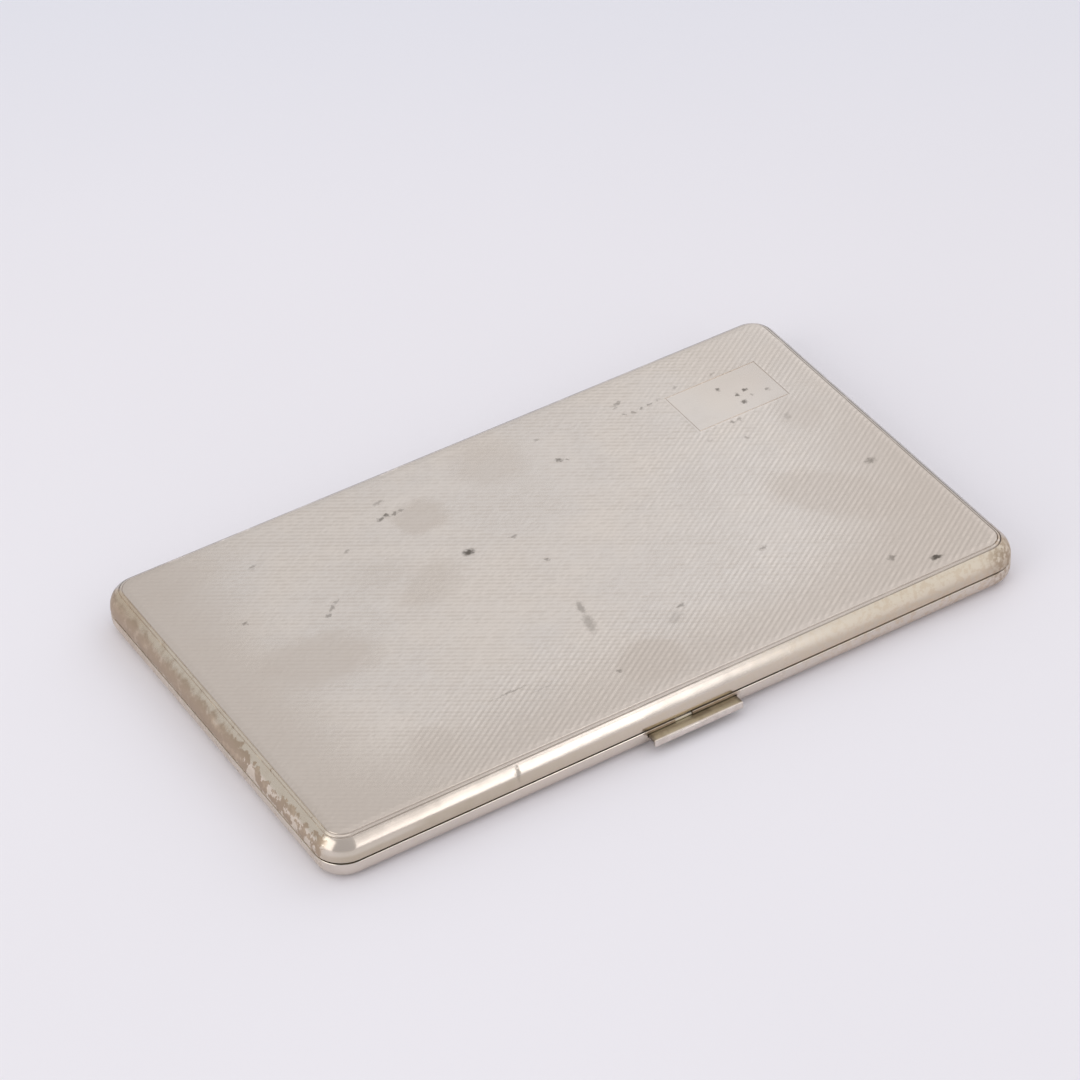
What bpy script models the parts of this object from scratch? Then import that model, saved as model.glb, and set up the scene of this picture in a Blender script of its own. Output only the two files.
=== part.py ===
"""Slim rectangular cigarette case with a hinged lid and a sprung thumb bar.

The origin is on the table under the middle of the case. +X runs along the long side, +Y towards the
hinge and +Z up, so the thumb bar is on the front, at -Y. All lengths are in metres.
"""

import math

import bmesh
import bpy
from mathutils import Matrix, Vector

# The case as a whole
CASE_LENGTH = 0.1400
CASE_DEPTH = 0.0830
BASE_HEIGHT = 0.0039
LID_HEIGHT = 0.0047
CORNER_RADIUS = 0.0055
WALL = 0.0005
SEAM_GAP = 0.0003
MOUTH_ROUND = 0.0002

# Rounded shoulders between the flat faces and the side walls
LID_SHOULDER_WIDTH = 0.0034
LID_SHOULDER_DROP = 0.0038
BASE_SHOULDER_WIDTH = 0.0026
BASE_SHOULDER_RISE = 0.0026

# Engraved border of the lid: two fine lines round the panel, just over the edge of the flat
BORDER_INSET = 0.00187
BORDER_MARGIN = 0.0002
BORDER_LINE_WIDTH = 0.00028
BORDER_LINE_SPACING = 0.00055
BORDER_LINE_DEPTH = 0.00012
BORDER_LINES = 2

# Blank cartouche, outlined by one engraved line
CARTOUCHE_LENGTH = 0.0197
CARTOUCHE_DEPTH = 0.0120
CARTOUCHE_FROM_RIGHT = 0.0199
CARTOUCHE_FROM_BACK = 0.0188
CARTOUCHE_LINE_WIDTH = 0.00028
CARTOUCHE_LINE_DEPTH = 0.00010

# Hinge: short tubes soldered in turn to the base and to the lid, on one pin
KNUCKLE_COUNT = 7
KNUCKLE_RADIUS = 0.0011
KNUCKLE_GAP = 0.00015
PIN_RADIUS = 0.0005
PIN_CLEARANCE = 0.00008
HINGE_SET_IN = 0.0003
HINGE_FROM_END = 0.0050
HINGE_CLEARANCE = 0.0002
HINGE_CUT_BEYOND = 0.0012

# Fits between pieces
SEAT_GAP = 0.0001
SLOT_CLEARANCE = 0.00015
CUT_OVERRUN = 0.0010

# Lip strips inside the base's walls
STRIP_THICKNESS = 0.0005
STRIP_PROUD = 0.0009
STRIP_SINK = 0.0018
STRIP_FROM_CORNER = 0.0015

# Thumb bar: a plate through the front wall with a flange turned down at the front
BAR_LENGTH = 0.0178
BAR_X = 0.0006
BAR_THICKNESS = 0.0006
BAR_BELOW_SEAM = 0.0009
BAR_REACH_OUT = 0.0022
BAR_REACH_IN = 0.0025
BAR_FLANGE_HEIGHT = 0.0013
BAR_EDGE_ROUND = 0.0002
TANG_WIDTH = 0.0016
TANG_FROM_MIDDLE = 0.0050
TANG_BEYOND_SPRING = 0.0004

# Hook on the thumb bar and the ledge in the lid that it holds
HOOK_WIDTH = 0.0033
HOOK_THICKNESS = 0.0005
HOOK_FROM_BAR_MIDDLE = 0.00175
HOOK_FRONT_SET_IN = 0.0001
HOOK_NOSE_LIP = 0.00015
LEDGE_LENGTH = 0.0085
LEDGE_ABOVE_SEAM = 0.0004
LEDGE_THICKNESS = 0.0005
LEDGE_REACH = 0.0010
LEDGE_LEG_HEIGHT = 0.0010
LEDGE_LEG_THICKNESS = 0.0003
CATCH_CLEARANCE = 0.0003
NOSE_CLEARANCE = 0.0002

# Bowed leaf spring behind the front wall
SPRING_FLAT_BEYOND_BAR = 0.0006
SPRING_BEND_LENGTH = 0.0055
SPRING_PAD_LENGTH = 0.0030
SPRING_THICKNESS = 0.00025
SPRING_HEIGHT = 0.0016
SPRING_SEAT_GAP = 0.00015
SPRING_BLEND_STEPS = 8
SPRING_TO_STRIP = 0.0010

# Elastic band across the cigarettes, and the folded clips that hold its ends
BAND_WIDTH = 0.0080
BAND_THICKNESS = 0.0006
BAND_ABOVE_SEAM = 0.0009
CLIP_THICKNESS = 0.0004
CLIP_WIDTH = 0.0092
CLIP_REACH = 0.0036
CLIP_LEG_BELOW_SEAM = 0.0014
RIVET_RADIUS = 0.00045
RIVET_HEAD_RADIUS = 0.0008
RIVET_HEAD_THICKNESS = 0.0003
RIVET_CROWN_RADIUS = 0.0005
RIVET_BELOW_SEAM = 0.0006
RIVET_FROM_MIDDLE = 0.0030
RIVET_CLEARANCE = 0.0001
RIVET_END_SET_IN = 0.00005

# Facets
CORNER_STEPS = 8
SHOULDER_STEPS = 8
MOUTH_STEPS = 3
EDGE_STEPS = 4
KNUCKLE_SIDES = 24
RIVET_SIDES = 12
SHARP_ANGLE_DEGREES = 32.0

# Levels and places worked out from the sizes above
CASE_HEIGHT = BASE_HEIGHT + LID_HEIGHT
FRONT_Y = -CASE_DEPTH / 2
BACK_Y = CASE_DEPTH / 2
HALF_LENGTH = CASE_LENGTH / 2
SEAM_Z = BASE_HEIGHT
BASE_RIM_Z = SEAM_Z - SEAM_GAP / 2
LID_MOUTH_Z = SEAM_Z + SEAM_GAP / 2
HINGE_Y = BACK_Y - HINGE_SET_IN
HINGE_HALF_LENGTH = HALF_LENGTH - HINGE_FROM_END
BAR_TOP_Z = SEAM_Z - BAR_BELOW_SEAM
BAR_BOTTOM_Z = BAR_TOP_Z - BAR_THICKNESS
BAR_MIDDLE_Z = BAR_TOP_Z - BAR_THICKNESS / 2
BAR_INNER_Y = FRONT_Y + BAR_REACH_IN
HOOK_X = BAR_X - HOOK_FROM_BAR_MIDDLE
SPRING_FACE_Y = BAR_INNER_Y + SEAT_GAP
SPRING_FLAT_HALF = BAR_LENGTH / 2 + SPRING_FLAT_BEYOND_BAR
SPRING_BEND_START = SPRING_FLAT_HALF + SPRING_BEND_LENGTH
SPRING_HALF_LENGTH = SPRING_BEND_START + SPRING_PAD_LENGTH
STRIP_FACE = WALL + SEAT_GAP + STRIP_THICKNESS
BAND_BOTTOM_Z = SEAM_Z + BAND_ABOVE_SEAM
BAND_TOP_Z = BAND_BOTTOM_Z + BAND_THICKNESS

# Colours of the metals and of the band: base colour, roughness, metallic
SILVER_PLATE = ((0.760, 0.720, 0.670, 1.0), 0.26, 1.0)
GILT_METAL = ((0.830, 0.640, 0.330, 1.0), 0.30, 1.0)
SPRING_METAL = ((0.520, 0.500, 0.470, 1.0), 0.35, 1.0)
BAND_CLOTH = ((0.720, 0.620, 0.420, 1.0), 0.90, 0.0)


def clear_scene():
    """Remove every object that the file starts with."""
    for obj in list(bpy.data.objects):
        bpy.data.objects.remove(obj, do_unlink=True)


def make_material(name, look):
    """A plain Principled material from its colour, roughness and metallic value."""
    colour, roughness, metallic = look
    material = bpy.data.materials.new(name)
    material.use_nodes = True
    shader = material.node_tree.nodes["Principled BSDF"]
    shader.inputs["Base Color"].default_value = colour
    shader.inputs["Roughness"].default_value = roughness
    shader.inputs["Metallic"].default_value = metallic
    return material


def axis_empty(name, place):
    """An empty that stands on a joint's axis and carries the pieces that move on it."""
    empty = bpy.data.objects.new(name, None)
    empty.location = place
    bpy.context.collection.objects.link(empty)
    return empty


def finish_piece(name, bm, look, carrier=None):
    """Turn a bmesh in case coordinates into a named object, carried by an empty if one is given."""
    bmesh.ops.recalc_face_normals(bm, faces=bm.faces[:])
    mesh = bpy.data.meshes.new(name)
    bm.to_mesh(mesh)
    bm.free()
    obj = bpy.data.objects.new(name, mesh)
    bpy.context.collection.objects.link(obj)
    if carrier is not None:
        mesh.transform(Matrix.Translation(-Vector(carrier.location)))
        obj.parent = carrier
    mesh.materials.append(make_material(name, look))
    mesh.shade_smooth()
    mesh.set_sharp_from_angle(angle=math.radians(SHARP_ANGLE_DEGREES))
    return obj


def finish_cutter(name, bm):
    """Turn a bmesh into a wire cutter that isn't part of the case."""
    bmesh.ops.recalc_face_normals(bm, faces=bm.faces[:])
    mesh = bpy.data.meshes.new(name)
    bm.to_mesh(mesh)
    bm.free()
    obj = bpy.data.objects.new(name, mesh)
    bpy.context.collection.objects.link(obj)
    obj.hide_render = True
    obj.display_type = "WIRE"
    return obj


def combine(obj, cutter, operation="DIFFERENCE"):
    """Cut an object by a cutter, or join the two."""
    modifier = obj.modifiers.new(cutter.name, "BOOLEAN")
    modifier.operation = operation
    modifier.solver = "EXACT"
    modifier.object = cutter


def bridge_rings(bm, rings, closed=False):
    """Join rings of vertices into a solid: a loop of rings if closed, else with a cap at each end."""
    count = len(rings[0])
    pairs = list(zip(rings, rings[1:]))
    if closed:
        pairs.append((rings[-1], rings[0]))
    for first, second in pairs:
        for i in range(count):
            j = (i + 1) % count
            bm.faces.new((first[i], first[j], second[j], second[i]))
    if not closed:
        bm.faces.new(rings[0])
        bm.faces.new(rings[-1])


def prism(outline, low, high, axis):
    """Extrude a closed outline along an axis. The outline's two numbers follow the axis in X, Y, Z order."""
    bm = bmesh.new()
    rings = []
    for level in (low, high):
        ring = []
        for u, v in outline:
            if axis == "X":
                place = (level, u, v)
            elif axis == "Y":
                place = (u, level, v)
            else:
                place = (u, v, level)
            ring.append(bm.verts.new(place))
        rings.append(ring)
    bridge_rings(bm, rings)
    return bm


def box(low, high):
    """A rectangular block between two corners."""
    outline = ((low[0], low[1]), (high[0], low[1]), (high[0], high[1]), (low[0], high[1]))
    return prism(outline, low[2], high[2], "Z")


def turned_along_x(profile, centre_y, centre_z, sides, closed=False):
    """A solid of revolution about a line along X, from a profile of (x, radius) pairs."""
    bm = bmesh.new()
    rings = []
    for x, radius in profile:
        ring = []
        for i in range(sides):
            angle = 2 * math.pi * i / sides
            ring.append(bm.verts.new((x, centre_y + radius * math.cos(angle), centre_z + radius * math.sin(angle))))
        rings.append(ring)
    bridge_rings(bm, rings, closed)
    return bm


def quarter(steps):
    """Angles from 0 to a quarter turn."""
    return [math.pi / 2 * i / steps for i in range(steps + 1)]


def case_outline(inset):
    """The case's rounded rectangle in plan, drawn in by an inset."""
    radius = CORNER_RADIUS - inset
    reach_x = HALF_LENGTH - CORNER_RADIUS
    reach_y = BACK_Y - CORNER_RADIUS
    points = []
    for turn, (side_x, side_y) in enumerate(((1, 1), (-1, 1), (-1, -1), (1, -1))):
        for angle in quarter(CORNER_STEPS):
            heading = angle + turn * math.pi / 2
            x = side_x * reach_x + radius * math.cos(heading)
            y = side_y * reach_y + radius * math.sin(heading)
            points.append((x, y))
    return points


def drawn_shell(profile):
    """A drawn sheet shell: the case's outline carried along a profile of (inset, z) pairs."""
    bm = bmesh.new()
    rings = [[bm.verts.new((x, y, z)) for x, y in case_outline(inset)] for inset, z in profile]
    bridge_rings(bm, rings)
    return bm


def shell_profile(flat_z, mouth_z, shoulder_width, shoulder_height, lines):
    """Profile of a shell from its flat face, over the lines and the shoulder to the mouth, and back inside."""
    up = 1 if mouth_z > flat_z else -1
    outer = [(shoulder_width, flat_z)] + lines
    for angle in quarter(SHOULDER_STEPS)[1:]:
        inset = shoulder_width * (1 - math.sin(angle))
        if lines and inset > lines[-1][0] - BORDER_MARGIN:
            continue
        outer.append((inset, flat_z + up * shoulder_height * (1 - math.cos(angle))))
    for angle in quarter(MOUTH_STEPS):
        inset = MOUTH_ROUND * (1 - math.cos(angle))
        outer.append((inset, mouth_z - up * MOUTH_ROUND * (1 - math.sin(angle))))
    inner = [(WALL, mouth_z)]
    for angle in reversed(quarter(SHOULDER_STEPS)):
        inset = WALL + (shoulder_width - WALL) * (1 - math.sin(angle))
        inner.append((inset, flat_z + up * (WALL + (shoulder_height - WALL) * (1 - math.cos(angle)))))
    return outer + inner


def lid_drop(inset):
    """How far the lid's shoulder has fallen below the flat face at an inset from the side wall."""
    across = 1 - inset / LID_SHOULDER_WIDTH
    return LID_SHOULDER_DROP * (1 - math.sqrt(1 - across * across))


def border_lines():
    """Points of the engraved border lines on the upper part of the shoulder, from the panel outwards."""
    points = []
    for line in reversed(range(BORDER_LINES)):
        middle = BORDER_INSET + line * BORDER_LINE_SPACING
        for side, depth in ((1, 0), (0, BORDER_LINE_DEPTH), (-1, 0)):
            inset = middle + side * BORDER_LINE_WIDTH / 2
            points.append((inset, CASE_HEIGHT - lid_drop(inset) - depth))
    return points


def hinge_cutter():
    """Round channel along the back edge, in which the knuckles lie."""
    reach = HINGE_HALF_LENGTH + HINGE_CUT_BEYOND
    radius = KNUCKLE_RADIUS + HINGE_CLEARANCE
    profile = ((-reach, radius), (reach, radius))
    return finish_cutter("cut_hinge_channel", turned_along_x(profile, HINGE_Y, SEAM_Z, KNUCKLE_SIDES))


def cartouche_cutter():
    """The engraved outline of the cartouche: a thin rectangular frame sunk into the lid's panel."""
    centre_x = HALF_LENGTH - CARTOUCHE_FROM_RIGHT
    centre_y = BACK_Y - CARTOUCHE_FROM_BACK
    low_z = CASE_HEIGHT - CARTOUCHE_LINE_DEPTH
    high_z = CASE_HEIGHT + CUT_OVERRUN
    bm = bmesh.new()
    rings = []
    for grow, z in ((0, low_z), (CARTOUCHE_LINE_WIDTH, low_z), (CARTOUCHE_LINE_WIDTH, high_z), (0, high_z)):
        half_x = CARTOUCHE_LENGTH / 2 - CARTOUCHE_LINE_WIDTH + grow
        half_y = CARTOUCHE_DEPTH / 2 - CARTOUCHE_LINE_WIDTH + grow
        corners = ((-half_x, -half_y), (half_x, -half_y), (half_x, half_y), (-half_x, half_y))
        rings.append([bm.verts.new((centre_x + x, centre_y + y, z)) for x, y in corners])
    bridge_rings(bm, rings, closed=True)
    return finish_cutter("cut_cartouche_line", bm)


def bar_slot_cutter():
    """The slot in the base's front wall through which the thumb bar passes."""
    half = BAR_LENGTH / 2 + SLOT_CLEARANCE
    low = (BAR_X - half, FRONT_Y - CUT_OVERRUN, BAR_BOTTOM_Z - SLOT_CLEARANCE)
    high = (BAR_X + half, FRONT_Y + WALL + CUT_OVERRUN, BAR_TOP_Z + SLOT_CLEARANCE)
    return finish_cutter("cut_bar_slot", box(low, high))


def hook_notch_cutter():
    """The notch above the slot, open at the rim, in which the front end of the hook shows."""
    half = HOOK_WIDTH / 2 + SLOT_CLEARANCE
    low = (HOOK_X - half, FRONT_Y - CUT_OVERRUN, BAR_TOP_Z)
    high = (HOOK_X + half, FRONT_Y + WALL + CUT_OVERRUN, SEAM_Z + CUT_OVERRUN)
    return finish_cutter("cut_hook_notch", box(low, high))


def make_base_shell(channel):
    """The drawn base tray."""
    profile = shell_profile(0, BASE_RIM_Z, BASE_SHOULDER_WIDTH, BASE_SHOULDER_RISE, [])
    shell = finish_piece("base_shell", drawn_shell(profile), SILVER_PLATE)
    combine(shell, channel)
    combine(shell, bar_slot_cutter())
    combine(shell, hook_notch_cutter())
    return shell


def make_lid_shell(channel, lid_axis):
    """The drawn lid with its border lines and cartouche."""
    profile = shell_profile(CASE_HEIGHT, LID_MOUTH_Z, LID_SHOULDER_WIDTH, LID_SHOULDER_DROP, border_lines())
    shell = finish_piece("lid_shell", drawn_shell(profile), SILVER_PLATE, lid_axis)
    combine(shell, channel)
    combine(shell, cartouche_cutter())
    return shell


def make_hinge(lid_axis):
    """Knuckles in turn on the base and on the lid, and the pin through them."""
    pitch = 2 * HINGE_HALF_LENGTH / KNUCKLE_COUNT
    bore = PIN_RADIUS + PIN_CLEARANCE
    for i in range(KNUCKLE_COUNT):
        low = -HINGE_HALF_LENGTH + i * pitch + KNUCKLE_GAP / 2
        high = low + pitch - KNUCKLE_GAP
        profile = ((low, bore), (low, KNUCKLE_RADIUS), (high, KNUCKLE_RADIUS), (high, bore))
        tube = turned_along_x(profile, HINGE_Y, SEAM_Z, KNUCKLE_SIDES, closed=True)
        number = i // 2 + 1
        if i % 2 == 0:
            finish_piece(f"base_hinge_knuckle_{number}", tube, SILVER_PLATE)
        else:
            finish_piece(f"lid_hinge_knuckle_{number}", tube, SILVER_PLATE, lid_axis)
    profile = ((-HINGE_HALF_LENGTH, PIN_RADIUS), (HINGE_HALF_LENGTH, PIN_RADIUS))
    pin = turned_along_x(profile, HINGE_Y, SEAM_Z, KNUCKLE_SIDES)
    finish_piece("hinge_pin", pin, SPRING_METAL)


def strip_section(face, inward):
    """Cross-section of a lip strip: its outer face's place, and the direction into the case."""
    low = SEAM_Z - STRIP_SINK
    high = SEAM_Z + STRIP_PROUD
    back = face + inward * STRIP_THICKNESS
    return ((face, low), (back, low), (back, high), (face + inward * STRIP_THICKNESS / 2, high),
            (face, high - STRIP_THICKNESS / 2))


def make_side_strips(rivet_cutters):
    """The lip strips along the two short sides."""
    reach = BACK_Y - CORNER_RADIUS - STRIP_FROM_CORNER
    for name, side in (("left", -1), ("right", 1)):
        face = side * (HALF_LENGTH - WALL - SEAT_GAP)
        bm = prism(strip_section(face, -side), -reach, reach, "Y")
        strip = finish_piece(f"base_rim_strip_{name}", bm, GILT_METAL)
        for cutter in rivet_cutters[side]:
            combine(strip, cutter)


def make_front_strips():
    """The lip strips along the front, to the left and right of the catch."""
    face = FRONT_Y + WALL + SEAT_GAP
    near = SPRING_HALF_LENGTH + SPRING_TO_STRIP
    far = HALF_LENGTH - CORNER_RADIUS - STRIP_FROM_CORNER
    section = strip_section(face, 1)
    finish_piece("base_rim_strip_front_left", prism(section, -far, BAR_X - near, "X"), GILT_METAL)
    finish_piece("base_rim_strip_front_right", prism(section, BAR_X + near, far, "X"), GILT_METAL)


def tang_block(side, low_y, high_y, clearance):
    """The block of one tang, or of the hole that it passes through."""
    half = TANG_WIDTH / 2 + clearance
    middle = BAR_X + side * TANG_FROM_MIDDLE
    low = (middle - half, low_y, BAR_BOTTOM_Z - clearance)
    high = (middle + half, high_y, BAR_TOP_Z + clearance)
    return box(low, high)


def make_thumb_bar(press_axis):
    """The thumb bar: plate, turned-down flange and the two tangs that hold it to the spring."""
    front = FRONT_Y - BAR_REACH_OUT
    outline = [(BAR_INNER_Y, BAR_TOP_Z)]
    for angle in quarter(EDGE_STEPS):
        y = front + BAR_EDGE_ROUND * (1 - math.sin(angle))
        outline.append((y, BAR_TOP_Z - BAR_EDGE_ROUND * (1 - math.cos(angle))))
    flange_z = BAR_TOP_Z - BAR_FLANGE_HEIGHT
    outline.append((front, flange_z))
    outline.append((front + BAR_THICKNESS, flange_z))
    outline.append((front + BAR_THICKNESS, BAR_BOTTOM_Z))
    outline.append((BAR_INNER_Y, BAR_BOTTOM_Z))
    half = BAR_LENGTH / 2
    bar = finish_piece("thumb_bar", prism(outline, BAR_X - half, BAR_X + half, "X"), SILVER_PLATE, press_axis)
    tang_end = SPRING_FACE_Y + SPRING_THICKNESS + TANG_BEYOND_SPRING
    for name, side in (("left", -1), ("right", 1)):
        tang = tang_block(side, BAR_INNER_Y - BAR_THICKNESS, tang_end, 0)
        combine(bar, finish_cutter(f"add_tang_{name}", tang), "UNION")


def ledge_levels():
    """Front and inner edges and the top of the ledge on the lid's catch plate."""
    front = FRONT_Y + WALL + SEAT_GAP
    top = SEAM_Z + LEDGE_ABOVE_SEAM + LEDGE_THICKNESS
    return front, front + LEDGE_REACH, top


def make_catch_hook(press_axis):
    """The bent strip on the thumb bar. Its nose lies over the ledge of the lid's catch plate."""
    ledge_front, ledge_edge, ledge_top = ledge_levels()
    foot_low = BAR_TOP_Z + SEAT_GAP
    foot_high = foot_low + HOOK_THICKNESS
    foot_front = FRONT_Y + HOOK_FRONT_SET_IN
    stem_front = ledge_edge + CATCH_CLEARANCE
    stem_back = stem_front + HOOK_THICKNESS
    nose_tip = ledge_front + LEDGE_LEG_THICKNESS + NOSE_CLEARANCE
    nose_low = ledge_top + CATCH_CLEARANCE
    nose_high = nose_low + HOOK_THICKNESS
    outline = ((foot_front, foot_low), (stem_back, foot_low), (stem_back, nose_high), (stem_front, nose_high),
               (nose_tip, nose_low + HOOK_NOSE_LIP), (nose_tip, nose_low), (stem_front, nose_low),
               (stem_front, foot_high), (foot_front, foot_high))
    half = HOOK_WIDTH / 2
    finish_piece("catch_hook", prism(outline, HOOK_X - half, HOOK_X + half, "X"), SILVER_PLATE, press_axis)


def make_lid_catch_plate(lid_axis):
    """The angle strip inside the lid's front wall, whose ledge the hook holds."""
    front, edge, top = ledge_levels()
    low = top - LEDGE_THICKNESS
    leg = front + LEDGE_LEG_THICKNESS
    high = low + LEDGE_LEG_HEIGHT
    outline = ((front, low), (edge, low), (edge, top), (leg, top), (leg, high), (front, high))
    half = LEDGE_LENGTH / 2
    finish_piece("lid_catch_plate", prism(outline, HOOK_X - half, HOOK_X + half, "X"), GILT_METAL, lid_axis)


def spring_path():
    """Plan of the leaf spring's outer face: pads at the wall, bowed inwards to the bar's inner edge."""
    wall_y = FRONT_Y + WALL + SPRING_SEAT_GAP
    half = [(SPRING_HALF_LENGTH, wall_y)]
    for i in range(SPRING_BLEND_STEPS + 1):
        share = i / SPRING_BLEND_STEPS
        ease = (1 - math.cos(math.pi * share)) / 2
        x = SPRING_BEND_START - share * SPRING_BEND_LENGTH
        half.append((x, wall_y + ease * (SPRING_FACE_Y - wall_y)))
    left = [(-x, y) for x, y in half]
    return [(BAR_X + x, y) for x, y in left + half[::-1]]


def make_catch_spring():
    """The bowed leaf spring that pushes the thumb bar outwards."""
    path = spring_path()
    outline = path + [(x, y + SPRING_THICKNESS) for x, y in reversed(path)]
    low = BAR_MIDDLE_Z - SPRING_HEIGHT / 2
    spring = finish_piece("catch_spring", prism(outline, low, low + SPRING_HEIGHT, "Z"), SPRING_METAL)
    hole_low = SPRING_FACE_Y - CUT_OVERRUN
    hole_high = SPRING_FACE_Y + SPRING_THICKNESS + CUT_OVERRUN
    for name, side in (("left", -1), ("right", 1)):
        hole = tang_block(side, hole_low, hole_high, SEAT_GAP)
        combine(spring, finish_cutter(f"cut_tang_hole_{name}", hole))


def make_elastic_band():
    """The elastic band, stretched from clip to clip along the middle of the case."""
    end = HALF_LENGTH - STRIP_FACE - SEAT_GAP - CLIP_THICKNESS - SEAT_GAP
    half = BAND_WIDTH / 2
    bm = box((-end, -half, BAND_BOTTOM_Z), (end, half, BAND_TOP_Z))
    finish_piece("elastic_band", bm, BAND_CLOTH)


def make_band_clips(rivet_cutters):
    """The folded clips that hold the ends of the band, one on each side strip."""
    for name, side in (("left", -1), ("right", 1)):
        outer = side * (HALF_LENGTH - STRIP_FACE - SEAT_GAP)
        inner = outer - side * CLIP_THICKNESS
        tip = inner - side * CLIP_REACH
        under = BAND_BOTTOM_Z - SEAT_GAP
        over = BAND_TOP_Z + SEAT_GAP
        leg_z = SEAM_Z - CLIP_LEG_BELOW_SEAM
        outline = ((outer, leg_z), (inner, leg_z), (inner, under - CLIP_THICKNESS), (tip, under - CLIP_THICKNESS),
                   (tip, under), (inner, under), (inner, over), (tip, over), (tip, over + CLIP_THICKNESS),
                   (outer, over + CLIP_THICKNESS))
        clip = finish_piece(f"band_clip_{name}", prism(outline, -CLIP_WIDTH / 2, CLIP_WIDTH / 2, "Y"), GILT_METAL)
        for cutter in rivet_cutters[side]:
            combine(clip, cutter)


def rivet_places():
    """Side and Y of each rivet of the band clips."""
    return [(side, end * RIVET_FROM_MIDDLE) for side in (-1, 1) for end in (-1, 1)]


def make_rivet_cutters():
    """Holes through the clips' legs and the side strips, grouped by side."""
    cutters = {-1: [], 1: []}
    outer = HALF_LENGTH - WALL
    inner = outer - STRIP_THICKNESS - CLIP_THICKNESS - CUT_OVERRUN
    for number, (side, y) in enumerate(rivet_places(), start=1):
        radius = RIVET_RADIUS + RIVET_CLEARANCE
        profile = ((side * inner, radius), (side * outer, radius))
        bm = turned_along_x(profile, y, SEAM_Z - RIVET_BELOW_SEAM, RIVET_SIDES)
        cutters[side].append(finish_cutter(f"cut_rivet_hole_{number}", bm))
    return cutters


def make_rivets():
    """The four rivets that fasten the clips to the side strips, with their heads inside."""
    start = HALF_LENGTH - WALL - SEAT_GAP - RIVET_END_SET_IN
    seat = HALF_LENGTH - STRIP_FACE - SEAT_GAP - CLIP_THICKNESS - SEAT_GAP
    rim = seat - RIVET_HEAD_THICKNESS / 2
    crown = seat - RIVET_HEAD_THICKNESS
    for number, (side, y) in enumerate(rivet_places(), start=1):
        profile = ((side * start, RIVET_RADIUS), (side * seat, RIVET_RADIUS), (side * seat, RIVET_HEAD_RADIUS),
                   (side * rim, RIVET_HEAD_RADIUS), (side * crown, RIVET_CROWN_RADIUS))
        bm = turned_along_x(profile, y, SEAM_Z - RIVET_BELOW_SEAM, RIVET_SIDES)
        finish_piece(f"band_clip_rivet_{number}", bm, GILT_METAL)


def build_case():
    """Make every piece of the case."""
    clear_scene()
    lid_axis = axis_empty("lid_axis", (0, HINGE_Y, SEAM_Z))
    press_axis = axis_empty("press_axis", (BAR_X, FRONT_Y, BAR_MIDDLE_Z))
    channel = hinge_cutter()
    rivet_cutters = make_rivet_cutters()
    make_base_shell(channel)
    make_lid_shell(channel, lid_axis)
    make_hinge(lid_axis)
    make_side_strips(rivet_cutters)
    make_front_strips()
    make_thumb_bar(press_axis)
    make_catch_hook(press_axis)
    make_lid_catch_plate(lid_axis)
    make_catch_spring()
    make_elastic_band()
    make_band_clips(rivet_cutters)
    make_rivets()


build_case()
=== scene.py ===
"""Looks of a slim silver-plated cigarette case with an engine-turned lid, closed on a pale table."""

import math
import random
from collections import Counter

import bmesh
import bpy
from mathutils import Matrix, Vector, noise


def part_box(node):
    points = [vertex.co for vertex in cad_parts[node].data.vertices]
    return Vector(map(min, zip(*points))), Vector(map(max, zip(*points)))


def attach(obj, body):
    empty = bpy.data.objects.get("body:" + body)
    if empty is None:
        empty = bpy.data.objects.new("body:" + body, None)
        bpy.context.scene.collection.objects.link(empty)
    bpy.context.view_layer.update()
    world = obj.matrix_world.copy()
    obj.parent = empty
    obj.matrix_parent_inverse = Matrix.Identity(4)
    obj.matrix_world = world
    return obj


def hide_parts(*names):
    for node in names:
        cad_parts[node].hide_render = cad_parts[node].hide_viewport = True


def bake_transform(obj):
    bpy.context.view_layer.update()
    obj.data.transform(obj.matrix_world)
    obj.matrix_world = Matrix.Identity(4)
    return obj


# The case's own measures, in metres
HALF_LENGTH = 0.070
HALF_DEPTH = 0.0415
CORNER_RADIUS = 0.0055
TOP_Z = 0.0086
BOTTOM_Z = 0.0
LID_RIM_Z = 0.00405
BASE_RIM_Z = 0.00375

# What tells a shell's inner faces: how far they lie from its rim and skin, and how little they look outwards
RIM_MARGIN = 0.00006
SKIN_MARGIN = 0.0003
LOOKS_OUT = 0.2

# The order of a shell's finishes, after the plain outside
PANEL_FINISH = 1
INNER_FINISH = 2

# The engine-turned panel: two sets of straight cuts that cross in small lozenges. Each cut has its own share
# of the full depth, wear changes that share along it, and the cuts fade out over the panel's edge. The shades
# say how much dirt and painted shade each set lays in its cuts, and the reach how far its relief may lie from
# the level face
LINE_PITCH = 0.00096
LINE_SLANT = math.radians(34)
CUT_DEPTH = 0.000045
CUT_COUNT = 400
DEPTH_SPREAD = (0.62, 1.0)
WEAR_SPREAD = (0.40, 1.35)
FADE_FROM_EDGE = (0.0001, 0.0005)
CUT_SHADES = (0.35, 1.0)
RELIEF_REACH = 2.5 * CUT_DEPTH

# The panel's place: its edge inside the outline, the lid's dip towards the border lines, and the ring's gap.
# The margin and the normal tell which faces of the shell it replaces
LID_PANEL_INSET = 0.00256
LID_FLAT_INSET = 0.00340
LID_PANEL_FALL = 0.00012
BASE_PANEL_INSET = 0.00396
PANEL_GAP = 0.00010
PANEL_MARGIN = 0.00003
LEVEL_NORMAL = 0.97

# The directions of the straight cuts that follow the panel's round corners, in degrees
CORNER_TURNS = (15, 30, 45, 60, 75)

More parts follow.
